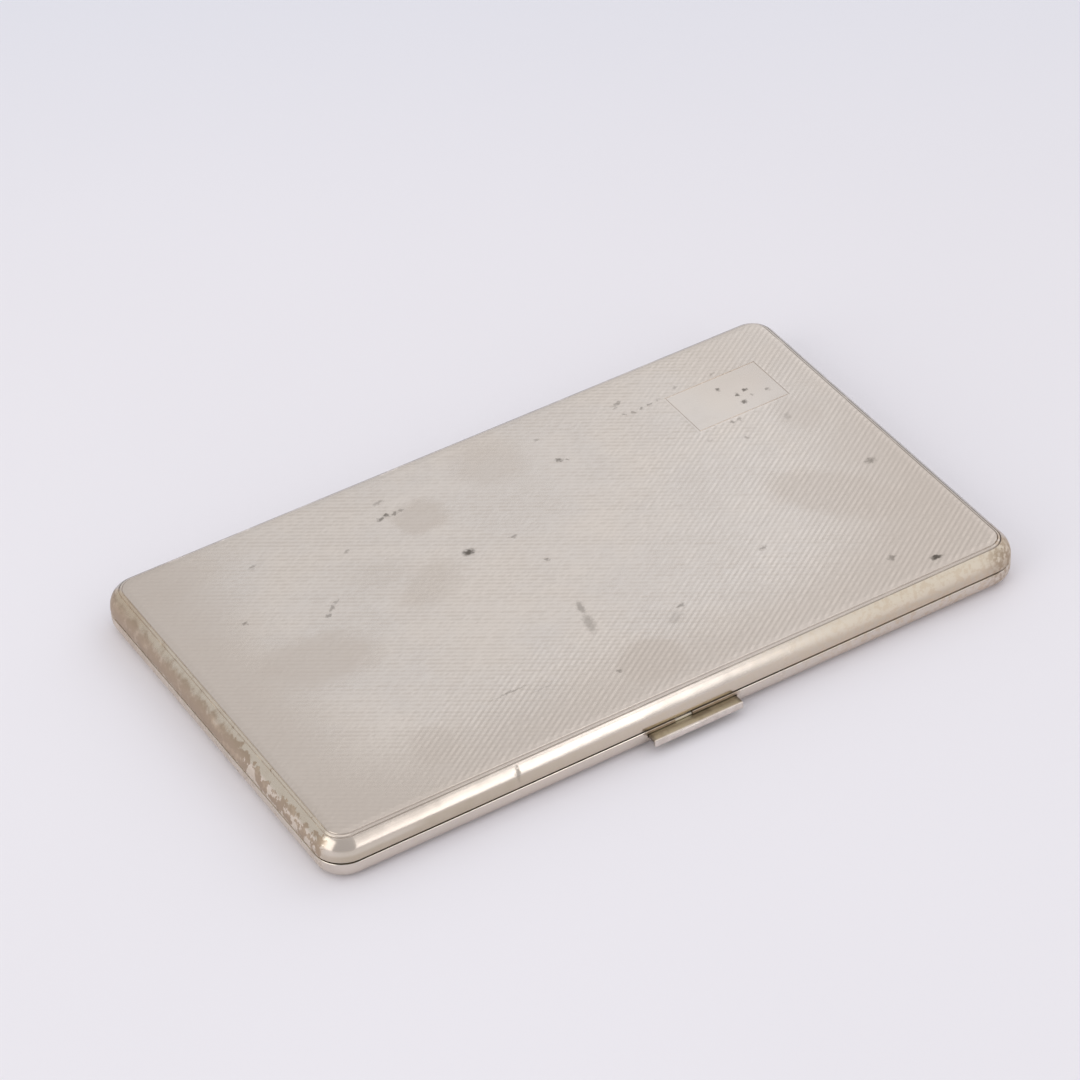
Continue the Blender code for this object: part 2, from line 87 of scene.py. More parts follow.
# The cartouche: its middle, half its size to the outer and the inner side of its engraved line, and how far
# round it the grid is split
CARTOUCHE = (0.0501, 0.0227)
CARTOUCHE_HALF = (0.00985, 0.00600)
CARTOUCHE_PLATE = (0.00957, 0.00572)
CARTOUCHE_CUT_REACH = 0.0015

# The V lines pressed round the base's flat face, the flat step before each, and the flat ring after the last
BASE_LINES = 2
BASE_LINE_STEP = 0.00030
BASE_LINE_HALF_WIDTH = 0.00014
BASE_LINE_DEPTH = 0.00010
BASE_RING = 0.00020

# Fine roundings of the small pieces' edges
ROUND = 0.00010
FINE_ROUND = 0.00006
SPRING_ROUND = 0.00004
ROUNDED_ANGLE = math.radians(40)

# Points closer than this are one, and faces that meet more flatly than this are one
MERGE = 1e-6
FLAT_ANGLE = math.radians(1)
MM = 1000.0
SEED = 7


# Modelling by hand: selection and edit mode

def take(piece):
    """Makes a piece the only selected and the active one."""
    bpy.ops.object.select_all(action="DESELECT")
    piece.select_set(True)
    bpy.context.view_layer.objects.active = piece


def edit(piece):
    take(piece)
    bpy.ops.object.mode_set(mode="EDIT")


def done():
    bpy.ops.object.mode_set(mode="OBJECT")


def pick(piece, kind, test):
    """In edit mode, selects the faces or edges that pass the test, and nothing else."""
    modes = {"faces": "FACE", "edges": "EDGE"}
    bpy.ops.mesh.select_all(action="DESELECT")
    bpy.ops.mesh.select_mode(type=modes[kind])
    shape = bmesh.from_edit_mesh(piece.data)
    for item in getattr(shape, kind):
        if test(item):
            item.select_set(True)
    bmesh.update_edit_mesh(piece.data)


def copy_of(node, name):
    """A new piece with the merged mesh of a CAD node."""
    piece = bpy.data.objects.new(name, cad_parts[node].data.copy())
    bpy.context.scene.collection.objects.link(piece)
    edit(piece)
    bpy.ops.mesh.select_all(action="SELECT")
    bpy.ops.mesh.remove_doubles(threshold=MERGE)
    done()
    bpy.ops.mesh.customdata_custom_splitnormals_clear()
    return piece


def apply_modifier(piece, kind, **settings):
    take(piece)
    modifier = piece.modifiers.new(kind.title(), kind)
    for name, value in settings.items():
        setattr(modifier, name, value)
    bpy.ops.object.modifier_apply(modifier=modifier.name)


def smooth(piece, degrees=35):
    take(piece)
    bpy.ops.object.shade_smooth_by_angle(angle=math.radians(degrees))


def give(piece, *finishes):
    piece.data.materials.clear()
    for finish in finishes:
        piece.data.materials.append(finish.material)


# The shells with their engine-turned faces

def inset_of(x, y):
    """How far a point lies inside the case's outline."""
    right = abs(x) - (HALF_LENGTH - CORNER_RADIUS)
    back = abs(y) - (HALF_DEPTH - CORNER_RADIUS)
    outside = math.hypot(max(right, 0), max(back, 0))
    return CORNER_RADIUS - outside - min(max(right, back), 0)


def in_cartouche(x, y, half, grow=0.0):
    return abs(x - CARTOUCHE[0]) < half[0] + grow and abs(y - CARTOUCHE[1]) < half[1] + grow


def lid_fall(x, y):
    """How far the panel's edge has dipped towards the border lines."""
    return LID_PANEL_FALL * max(LID_FLAT_INSET - inset_of(x, y), 0) / (LID_FLAT_INSET - LID_PANEL_INSET)


def cut_edge(place, normal, clear=True):
    bpy.ops.mesh.bisect(plane_co=place, plane_no=normal, use_fill=False, clear_inner=False,
                        clear_outer=clear, threshold=MERGE)


def lozenge_grid(level, inset):
    """A flat grid whose lines lie along both sets of cuts, trimmed to the panel's outline."""
    slope = math.tan(LINE_SLANT)
    half_x, half_y = HALF_LENGTH - inset, HALF_DEPTH - inset
    step = LINE_PITCH / 2 * math.hypot(1, slope) / (math.sqrt(2) * slope)
    cells = 2 * math.ceil((half_x + half_y / slope) / (math.sqrt(2) * step) + 1)
    middle = (0, 0, level)
    bpy.ops.object.select_all(action="DESELECT")
    bpy.ops.mesh.primitive_grid_add(x_subdivisions=cells, y_subdivisions=cells, size=cells * step,
                                    location=middle)
    grid = bpy.context.object
    bpy.ops.object.mode_set(mode="EDIT")
    bpy.ops.transform.rotate(value=math.radians(45), orient_axis="Z", center_override=middle)
    bpy.ops.transform.resize(value=(1, slope, 1), center_override=middle)
    done()
    bpy.ops.object.transform_apply(location=True, rotation=True, scale=True)
    edit(grid)
    sides = [((side * half_x, 0, level), (side, 0, 0)) for side in (-1, 1)]
    sides += [((0, side * half_y, level), (0, side, 0)) for side in (-1, 1)]
    radius = CORNER_RADIUS - inset
    for side_x in (-1, 1):
        for side_y in (-1, 1):
            for turn in CORNER_TURNS:
                outward = Vector((side_x * math.cos(math.radians(turn)),
                                  side_y * math.sin(math.radians(turn)), 0))
                corner = Vector((side_x * (half_x - radius), side_y * (half_y - radius), level))
                sides.append((corner + outward * radius, outward))
    for place, normal in sides:
        bpy.ops.mesh.select_all(action="SELECT")
        cut_edge(place, normal)
    return grid


def open_cartouche(grid, level):
    """Cuts the cartouche's rectangle out of the grid."""
    half = [reach + PANEL_GAP for reach in CARTOUCHE_HALF]
    for axis in (0, 1):
        for side in (-1, 1):
            pick(grid, "faces",
                 lambda face: in_cartouche(*face.calc_center_median().xy, half, CARTOUCHE_CUT_REACH))
            place = [CARTOUCHE[0], CARTOUCHE[1], level]
            place[axis] += side * half[axis]
            normal = [0, 0, 0]
            normal[axis] = side
            cut_edge(place, normal, clear=False)
    pick(grid, "faces", lambda face: in_cartouche(*face.calc_center_median().xy, half))
    bpy.ops.mesh.delete(type="FACE")


def cut_numbers(x, y):
    """Where a point lies across both sets of cuts, counted in half pitches."""
    across = y * math.cos(LINE_SLANT)
    along = x * math.sin(LINE_SLANT)
    return (across - along) / (LINE_PITCH / 2), (across + along) / (LINE_PITCH / 2)


def eased(value, low, high):
    share = min(max((value - low) / (high - low), 0.0), 1.0)
    return share * share * (3 - 2 * share)


def cut_strengths(x, y):
    """How deep each set of cuts still is at a point. The first set is deepest at the right and along the
    front, the second at the left, and wear varies both."""
    worn = noise.noise(Vector((x * 55, y * 55, SEED)))
    fine = noise.noise(Vector((x * 240, y * 240, SEED + 3)))
    front = eased(-y * MM, 12, 29) * eased(x * MM, -58, -34)
    first = 0.09 + 1.0 * eased(x * MM - 0.5 * y * MM, 0, 55) + 1.0 * front * (1 - eased(x * MM, 0, 45))
    first *= 1 + 0.45 * worn + 0.35 * fine
    second = 0.95 - 0.44 * eased(x * MM - 0.6 * y * MM, 8, 46) + 0.35 * worn - 0.20 * fine + 0.25 * front
    return min(max(first, 0.05), 1.2), min(max(second, 0.08), 1.2)


def press_cuts(grid, up):
    """Sinks the vertices that lie on the cuts, each cut by its own depth."""
    draw = random.Random(SEED)
    depths = [[draw.uniform(*DEPTH_SPREAD) for _ in range(CUT_COUNT)] for _ in range(2)]
    groups = [grid.vertex_groups.new(name=name) for name in ("first_cuts", "second_cuts")]
    marks = [0.0] * len(grid.data.vertices)
    counts = Counter(key for face in grid.data.polygons for key in face.edge_keys)
    rim = {index for key, count in counts.items() if count == 1 for index in key}
    inset = LID_PANEL_INSET if up > 0 else BASE_PANEL_INSET
    for vertex in grid.data.vertices:
        if vertex.index in rim:
            continue
        x, y = vertex.co.x, vertex.co.y
        fade = eased(inset_of(x, y), inset + FADE_FROM_EDGE[0], inset + FADE_FROM_EDGE[1])
        strengths = [fade * strength for strength in cut_strengths(x, y)]
        for which, number in enumerate(cut_numbers(x, y)):
            line = round(number)
            if line % 2 == 0:
                own = depths[which][(line // 2) % CUT_COUNT]
                depth = min(strengths[which] * own * draw.uniform(*WEAR_SPREAD), 1.0)
                groups[which].add([vertex.index], depth, "REPLACE")
                marks[vertex.index] = max(marks[vertex.index], depth * CUT_SHADES[which])
    for group in groups:
        apply_modifier(grid, "DISPLACE", direction="Z", mid_level=0.0, strength=-up * CUT_DEPTH,
                       vertex_group=group.name)
    grid.vertex_groups.clear()
    # cut_depth holds the dirt and painted shade that each vertex of a cut takes
    grid.data.attributes.new("cut_depth", "FLOAT", "POINT")
    grid.data.attributes["cut_depth"].data.foreach_set("value", marks)
    if up > 0:
        for vertex in grid.data.vertices:
            vertex.co.z -= lid_fall(vertex.co.x, vertex.co.y)


def fill_between(shell, test):
    """Fills the flat ring between two open loops."""
    def on_loops(edge):
        middle = (edge.verts[0].co + edge.verts[1].co) / 2
        return edge.is_boundary and test(middle.x, middle.y)

    pick(shell, "edges", on_loops)
    bpy.ops.mesh.fill(use_beauty=True)


def set_panel(shell, level, up, inset, with_cartouche):
    """Fills the open middle of a shell's flat face with the engine-turned panel."""
    grid = lozenge_grid(level, inset + PANEL_GAP)
    if with_cartouche:
        open_cartouche(grid, level)
    if up < 0:
        bpy.ops.mesh.select_all(action="SELECT")
        bpy.ops.mesh.flip_normals()
    done()
    press_cuts(grid, up)
    take(shell)
    grid.select_set(True)
    bpy.ops.object.join()
    edit(shell)
    fill_between(shell, lambda x, y: inset_of(x, y) < inset + 2 * PANEL_GAP)
    if with_cartouche:
        fill_between(shell, lambda x, y: in_cartouche(x, y, CARTOUCHE_HALF, 2 * PANEL_GAP))
    done()


def inner_faces(shell, up, rim_z):
    """The indices of the faces that look into the case."""
    level = TOP_Z if up > 0 else BOTTOM_Z
    found = []
    for face in shell.data.polygons:
        x, y, z = face.center
        reach = Vector((math.copysign(max(abs(x) - HALF_LENGTH + CORNER_RADIUS, 0), x),
                        math.copysign(max(abs(y) - HALF_DEPTH + CORNER_RADIUS, 0), y), 0))
        outward = face.normal.dot(reach.normalized()) if reach.length > MERGE else -1.0
        past_rim = (z - rim_z) * up > RIM_MARGIN and abs(z - level) > SKIN_MARGIN
        looks_in = face.normal.z * up < LOOKS_OUT and outward < LOOKS_OUT
        if past_rim and looks_in and inset_of(x, y) > SKIN_MARGIN:
            found.append(face.index)
    return found


def finish_shell(shell, node, body, up, rim_z, relief_test, outer, panel, inner):
    """Shades and paints a shell: plain outside, cut panel and gilt inside."""
    smooth(shell, 28)
    edit(shell)
    pick(shell, "faces", relief_test)
    bpy.ops.mesh.faces_shade_flat()
    done()
    apply_modifier(shell, "WEIGHTED_NORMAL", mode="FACE_AREA", weight=50, keep_sharp=True)
    give(shell, outer, panel, inner)
    inside = set(inner_faces(shell, up, rim_z))
    level = TOP_Z if up > 0 else BOTTOM_Z
    edge = LID_PANEL_INSET if up > 0 else BASE_PANEL_INSET
    for face in shell.data.polygons:
        x, y, z = face.center
        if face.index in inside:
            face.material_index = INNER_FINISH
        elif abs(z - level) < LID_PANEL_FALL + RELIEF_REACH and inset_of(x, y) > edge:
            face.material_index = PANEL_FINISH
    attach(shell, body)
    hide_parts(node)


def on_level(face, level):
    return all(abs(vertex.co.z - level) < MERGE for vertex in face.verts)


def make_lid(outer, panel, inner):
    lid = copy_of("lid_shell", "engine_turned_lid")
    edit(lid)

    def on_panel(face):
        return all(abs(vertex.co.z - TOP_Z + lid_fall(vertex.co.x, vertex.co.y)) < PANEL_MARGIN
                   for vertex in face.verts)

    def is_plain_middle(face):
        x, y, z = face.calc_center_median()
        return (z > TOP_Z - LID_PANEL_FALL and face.normal.z > LEVEL_NORMAL
                and inset_of(x, y) > LID_PANEL_INSET and not in_cartouche(x, y, CARTOUCHE_PLATE)
                and on_panel(face))

    pick(lid, "faces", is_plain_middle)
    bpy.ops.mesh.delete(type="ONLY_FACE")
    done()
    set_panel(lid, TOP_Z, 1, LID_PANEL_INSET, True)

    def is_relief(face):
        x, y, z = face.calc_center_median()
        if in_cartouche(x, y, CARTOUCHE_HALF, PANEL_GAP):
            return on_level(face, TOP_Z)
        return z > TOP_Z - LID_PANEL_FALL - RELIEF_REACH and inset_of(x, y) > LID_PANEL_INSET + PANEL_GAP

    finish_shell(lid, "lid_shell", "lid", 1, LID_RIM_Z, is_relief, outer, panel, inner)


def make_base(outer, panel, inner):
    base = copy_of("base_shell", "engine_turned_base")
    edit(base)
    pick(base, "faces", lambda face: on_level(face, BOTTOM_Z))
    bpy.ops.mesh.dissolve_limited(angle_limit=FLAT_ANGLE)
    pick(base, "faces", lambda face: on_level(face, BOTTOM_Z))
    for _ in range(BASE_LINES):
        bpy.ops.mesh.inset(thickness=BASE_LINE_STEP, depth=0)
        bpy.ops.mesh.inset(thickness=BASE_LINE_HALF_WIDTH, depth=-BASE_LINE_DEPTH)
        bpy.ops.mesh.inset(thickness=BASE_LINE_HALF_WIDTH, depth=BASE_LINE_DEPTH)
    bpy.ops.mesh.inset(thickness=BASE_RING, depth=0)
    bpy.ops.mesh.delete(type="ONLY_FACE")
    done()
    set_panel(base, BOTTOM_Z, -1, BASE_PANEL_INSET, False)

    def is_relief(face):
        x, y, z = face.calc_center_median()
        return z < BOTTOM_Z + RELIEF_REACH and inset_of(x, y) > BASE_PANEL_INSET + PANEL_GAP

    finish_shell(base, "base_shell", "base", -1, BASE_RIM_Z, is_relief, outer, panel, inner)


# Shader maths

class Varying:
    """A number that changes over a surface. Arithmetic on it adds Math nodes."""

    def __init__(self, finish, socket):
        self.finish = finish
        self.socket = socket

    def _math(self, operation, first, second):
        return self.finish.add("ShaderNodeMath", {"operation": operation}, {0: first, 1: second})

    def __add__(self, other):
        return self._math("ADD", self, other)

    def __radd__(self, other):
        return self._math("ADD", other, self)

    def __sub__(self, other):
        return self._math("SUBTRACT", self, other)

    def __rsub__(self, other):
        return self._math("SUBTRACT", other, self)

    def __mul__(self, other):
        return self._math("MULTIPLY", self, other)

    def __rmul__(self, other):
        return self._math("MULTIPLY", other, self)

    def highest(self, other):
        return self._math("MAXIMUM", self, other)

    def lowest(self, other):
        return self._math("MINIMUM", self, other)

    def size(self):
        return self._math("ABSOLUTE", self, 0.0)

    def eased(self, low, high):
        """0 at low, 1 at high, eased between. Low may lie above high."""
        swap = low > high
        share = self.finish.add("ShaderNodeMapRange", {"interpolation_type": "SMOOTHSTEP"},
                                {"Value": self, "From Min": min(low, high), "From Max": max(low, high)})
        return 1 - share if swap else share


class Finish:
    """A material on one Principled shader, whose constants are set on its own sockets."""

    def __init__(self, name, **constants):
        self.material = bpy.data.materials.new(name)
        self.material.use_nodes = True
        self.tree = self.material.node_tree
        self.tree.nodes.clear()
        self.shader = self.tree.nodes.new("ShaderNodeBsdfPrincipled")
        output = self.tree.nodes.new("ShaderNodeOutputMaterial")
        self.tree.links.new(self.shader.outputs[0], output.inputs["Surface"])
        for name, value in constants.items():
            self.shader.inputs[name.replace("_", " ")].default_value = value

    def add(self, kind, settings=None, inputs=None, out=0):
        """Adds a node: its settings first, then the values or links of its sockets."""
        node = self.tree.nodes.new(kind)
        for name, value in (settings or {}).items():
            setattr(node, name, value)
        for key, value in (inputs or {}).items():
            if isinstance(value, Varying):
                self.tree.links.new(value.socket, node.inputs[key])
            else:
                node.inputs[key].default_value = value
        return Varying(self, node.outputs[out])

    def feed(self, **sources):
        for name, source in sources.items():
            self.tree.links.new(source.socket, self.shader.inputs[name.replace("_", " ")])

    def place(self):
        """The point on the piece, in millimetres."""
        point = self.add("ShaderNodeTexCoord", out="Object")
        return self.add("ShaderNodeVectorMath", {"operation": "MULTIPLY"}, {0: point, 1: (MM, MM, MM)})

    def parts(self, vector):
        return [self.add("ShaderNodeSeparateXYZ", None, {0: vector}, out) for out in range(3)]

    def moved(self, vector, turn=(0, 0, 0), scale=(1, 1, 1), shift=(0, 0, 0)):
        return self.add("ShaderNodeMapping", {"vector_type": "POINT"},
                        {"Vector": vector, "Location": shift, "Rotation": turn, "Scale": scale})

    def noise(self, vector, scale, detail=2.0, rough=0.5, warp=0.0):
        return self.add("ShaderNodeTexNoise", None,
                        {"Vector": vector, "Scale": scale, "Detail": detail, "Roughness": rough,
                         "Distortion": warp})

    def blend(self, first, second, share):
        """A colour between two."""
        colours = {6: first, 7: second}
        for key, colour in colours.items():
            if isinstance(colour, tuple):
                colours[key] = (*colour, 1.0)
        return self.add("ShaderNodeMix", {"data_type": "RGBA"}, {0: share, **colours}, 2)

    def spot(self, vector, x, y, half_x, half_y, turn=0.0, soft=0.3):
        """1 inside an oval at x, y, fading over its edge."""
        local = self.add("ShaderNodeMapping", {"vector_type": "TEXTURE"},
                         {"Vector": vector, "Location": (x, y, TOP_Z * MM),
                          "Rotation": (0, 0, math.radians(turn)), "Scale": (half_x, half_y, 4.0)})
        far = self.add("ShaderNodeVectorMath", {"operation": "LENGTH"}, {0: local}, "Value")
        return far.eased(1 + soft, 1 - soft)

    def bump(self, height, depth, under=None):
        """A surface with this height, depth metres from 0 to 1."""
        inputs = {"Height": height, "Distance": depth, "Strength": 1.0}
        if under is not None:
            inputs["Normal"] = under
        return self.add("ShaderNodeBump", None, inputs)

    def drifted(self, vector, scale, reach):
        """The point pushed about by up to half of reach, which makes straight outlines uneven."""
        drift = self.add("ShaderNodeTexNoise", None, {"Vector": vector, "Scale": scale, "Detail": 4.0},
                         "Color")
        pushed = self.add("ShaderNodeVectorMath", {"operation": "MULTIPLY_ADD"},
                          {0: drift, 1: (reach, reach, 0.0), 2: vector})
        return self.moved(pushed, shift=(-reach / 2, -reach / 2, 0.0))

    def hairlines(self, vector, turn, pitch, amount):
        """Sparse fine scratches along one direction: 1 on a scratch."""
        rotated = self.moved(vector, turn=(0, 0, math.radians(turn)))
        stretched = self.moved(rotated, scale=(0.05, 1.0, 1.0))
        streaks = self.noise(stretched, 1.0 / pitch, 2.0, 0.6)
        return streaks.eased(1 - amount, 1 - amount + 0.05)


# Colours, linear
SILVER = (0.767, 0.697, 0.636)
SILVER_COOL = (0.743, 0.688, 0.645)
SILVER_SHADE = (0.600, 0.528, 0.470)
SIDE_TARNISH_AND_SHADE = (0.625, 0.545, 0.440)
PAINTED_HIGHLIGHT = (0.960, 0.925, 0.860)
OLIVE_TARNISH_AND_SHADE = (0.520, 0.450, 0.350)
CREAM = (0.735, 0.650, 0.540)
TAN = (0.640, 0.520, 0.390)
BROWN = (0.420, 0.325, 0.240)
DEEP_BROWN = (0.160, 0.130, 0.115)
DARK_MARK = (0.110, 0.095, 0.080)
EDGE_PAINTED_SHADE = (0.300, 0.280, 0.270)
GILT = (0.880, 0.690, 0.390)
GILT_PALE = (0.840, 0.720, 0.520)
GILT_DEEP = (0.640, 0.440, 0.200)
STEEL = (0.560, 0.540, 0.510)
STEEL_DARK = (0.330, 0.300, 0.270)
BAR_OLIVE = (0.545, 0.470, 0.345)
BAR_OLIVE_DARK = (0.420, 0.345, 0.240)
BAR_STAIN = (0.250, 0.200, 0.140)
ELASTIC = (0.620, 0.500, 0.300)
ELASTIC_DEEP = (0.340, 0.255, 0.130)
ELASTIC_SOILED = (0.260, 0.200, 0.120)
ELASTIC_EDGE = (0.660, 0.550, 0.360)
TABLE = (0.848, 0.824, 0.872)
TABLE_PALE = (0.862, 0.838, 0.887)
TABLE_FAR_SHADED = (0.678, 0.712, 0.812)

# Dull patches on the lid: x, y, half sizes in millimetres, turn in degrees, strength, softness
PATCHES = (
    (-47.8, 1.2, 10.5, 6.6, -12, 0.66, 0.42),
    (-42.6, -2.4, 4.5, 3.6, 0, 0.45, 0.35),
    (-13.8, 24.7, 5.0, 4.4, 0, 0.58, 0.38),
    (-21.9, 7.6, 6.5, 4.2, 25, 0.45, 0.45),
    (-28.4, 14.9, 5.5, 3.5, 0, 0.30, 0.50),
    (4.3, 30.5, 7.0, 6.5, 0, 0.45, 0.50),
    (-0.9, -31.2, 5.8, 5.4, 0, 0.72, 0.22),
    (-42.7, -29.1, 4.6, 4.2, 0, 0.45, 0.35),
    (50.8, -12.5, 14.0, 6.0, -50, 0.55, 0.30),
    (59.8, 30.1, 12.0, 9.0, 0, 0.30, 0.60),
    (-59.7, 35.0, 14.0, 6.0, 0, 0.40, 0.60),
    (58.2, 11.4, 4.0, 5.5, 0, 0.35, 0.50),
)

# Small dark marks on the lid: x, y, half sizes in millimetres, turn in degrees, strength
PITS = (
    (-11.9, 11.3, 1.05, 0.75, 20, 0.95),
    (-3.1, 10.6, 0.75, 0.35, 0, 0.60),
    (-1.4, 1.8, 0.40, 0.35, 0, 0.60),
    (-29.5, 23.7, 0.60, 0.40, 30, 0.50),
    (-40.8, 10.3, 0.55, 0.40, 40, 0.60),
    (-39.2, 11.8, 0.85, 0.40, 40, 0.60),
    (-37.8, 12.8, 0.55, 0.30, 40, 0.45),
    (-20.2, 28.0, 0.70, 0.45, 20, 0.75),
    (-18.7, 28.6, 0.60, 0.40, 0, 0.80),
    (-17.3, 28.0, 0.65, 0.35, 10, 0.70),
    (-15.8, 28.3, 0.50, 0.30, 10, 0.55),
    (-18.2, 32.2, 1.00, 0.40, 15, 0.50),
    (-45.5, 29.4, 0.80, 0.35, 10, 0.50),
    (-53.7, 16.9, 0.45, 0.40, 0, 0.65),
    (14.9, 24.4, 0.70, 0.45, 0, 0.75),
    (16.1, 23.6, 0.40, 0.30, 0, 0.55),
    (14.6, 31.8, 0.50, 0.35, 0, 0.45),
    (-3.5, -12.6, 0.55, 1.60, -12, 0.55),
    (-4.5, -17.0, 0.85, 2.30, -14, 0.50),
    (11.0, -21.9, 0.75, 0.35, 10, 0.60),
    (8.6, -24.1, 1.50, 0.90, 35, 0.30),
    (31.5, -17.0, 0.80, 0.35, 15, 0.55),
    (48.4, -32.1, 0.65, 0.60, 0, 0.60),
    (55.0, -36.3, 1.00, 0.55, -10, 0.95),
    (60.9, -7.6, 0.95, 0.60, 0, 0.60),
    (-6.9, -30.4, 0.40, 0.40, 0, 0.55),
    (31.7, 28.6, 0.40, 0.35, 0, 0.60),
    (33.5, 28.3, 0.45, 0.35, 0, 0.55),
    (35.3, 28.7, 0.40, 0.35, 0, 0.60),
    (37.2, 28.9, 0.50, 0.35, 0, 0.60),
    (39.1, 29.0, 0.45, 0.30, 0, 0.45),
    (32.3, 32.3, 0.80, 0.40, 20, 0.60),
    (31.3, 31.5, 0.45, 0.35, 0, 0.50),
    (43.6, 30.4, 0.60, 0.30, 10, 0.45),
    (51.5, 29.8, 0.60, 0.30, 0, 0.40),
    (49.7, 25.3, 0.42, 0.40, 0, 0.80),
    (52.0, 21.8, 0.40, 0.60, 10, 0.80),
    (53.9, 22.7, 0.42, 0.42, 0, 0.85),
    (51.8, 19.6, 0.55, 0.42, 0, 0.85),
    (57.4, 20.3, 0.42, 0.42, 0, 0.60),
    (54.1, 20.6, 0.30, 0.30, 0, 0.50),
    (46.9, 15.7, 0.45, 0.35, 0, 0.60),
    (48.3, 15.7, 0.35, 0.30, 0, 0.45),
    (46.4, 10.4, 0.40, 0.35, 0, 0.50),
    (40.4, 13.5, 0.45, 0.30, 0, 0.35),
    (55.8, 11.4, 0.90, 0.50, 60, 0.35),
    (-25.0, -24.6, 3.20, 0.14, 0, 0.55),
    (-19.8, -26.7, 2.60, 0.12, 4, 0.35),
    # A dent on the front shoulder, painted as a dark spot
    (-33.6, -40.9, 0.45, 0.50, 0, 0.60),
)


# Places that several finishes share, in millimetres
BAR_MIDDLE_X = 0.6
OUTER_LINE = 1.87
INNER_LINE = 2.42


def rim_distance(finish, x, y):
    """How far a point of the outline's border zone lies inside the side walls, in millimetres."""
    right = (x.size() - (HALF_LENGTH - CORNER_RADIUS) * MM).highest(0.0)
    back = (y.size() - (HALF_DEPTH - CORNER_RADIUS) * MM).highest(0.0)
    joined = finish.add("ShaderNodeCombineXYZ", None, {0: right, 1: back})
    outside = finish.add("ShaderNodeVectorMath", {"operation": "LENGTH"}, {0: joined}, "Value")
    return CORNER_RADIUS * MM - outside


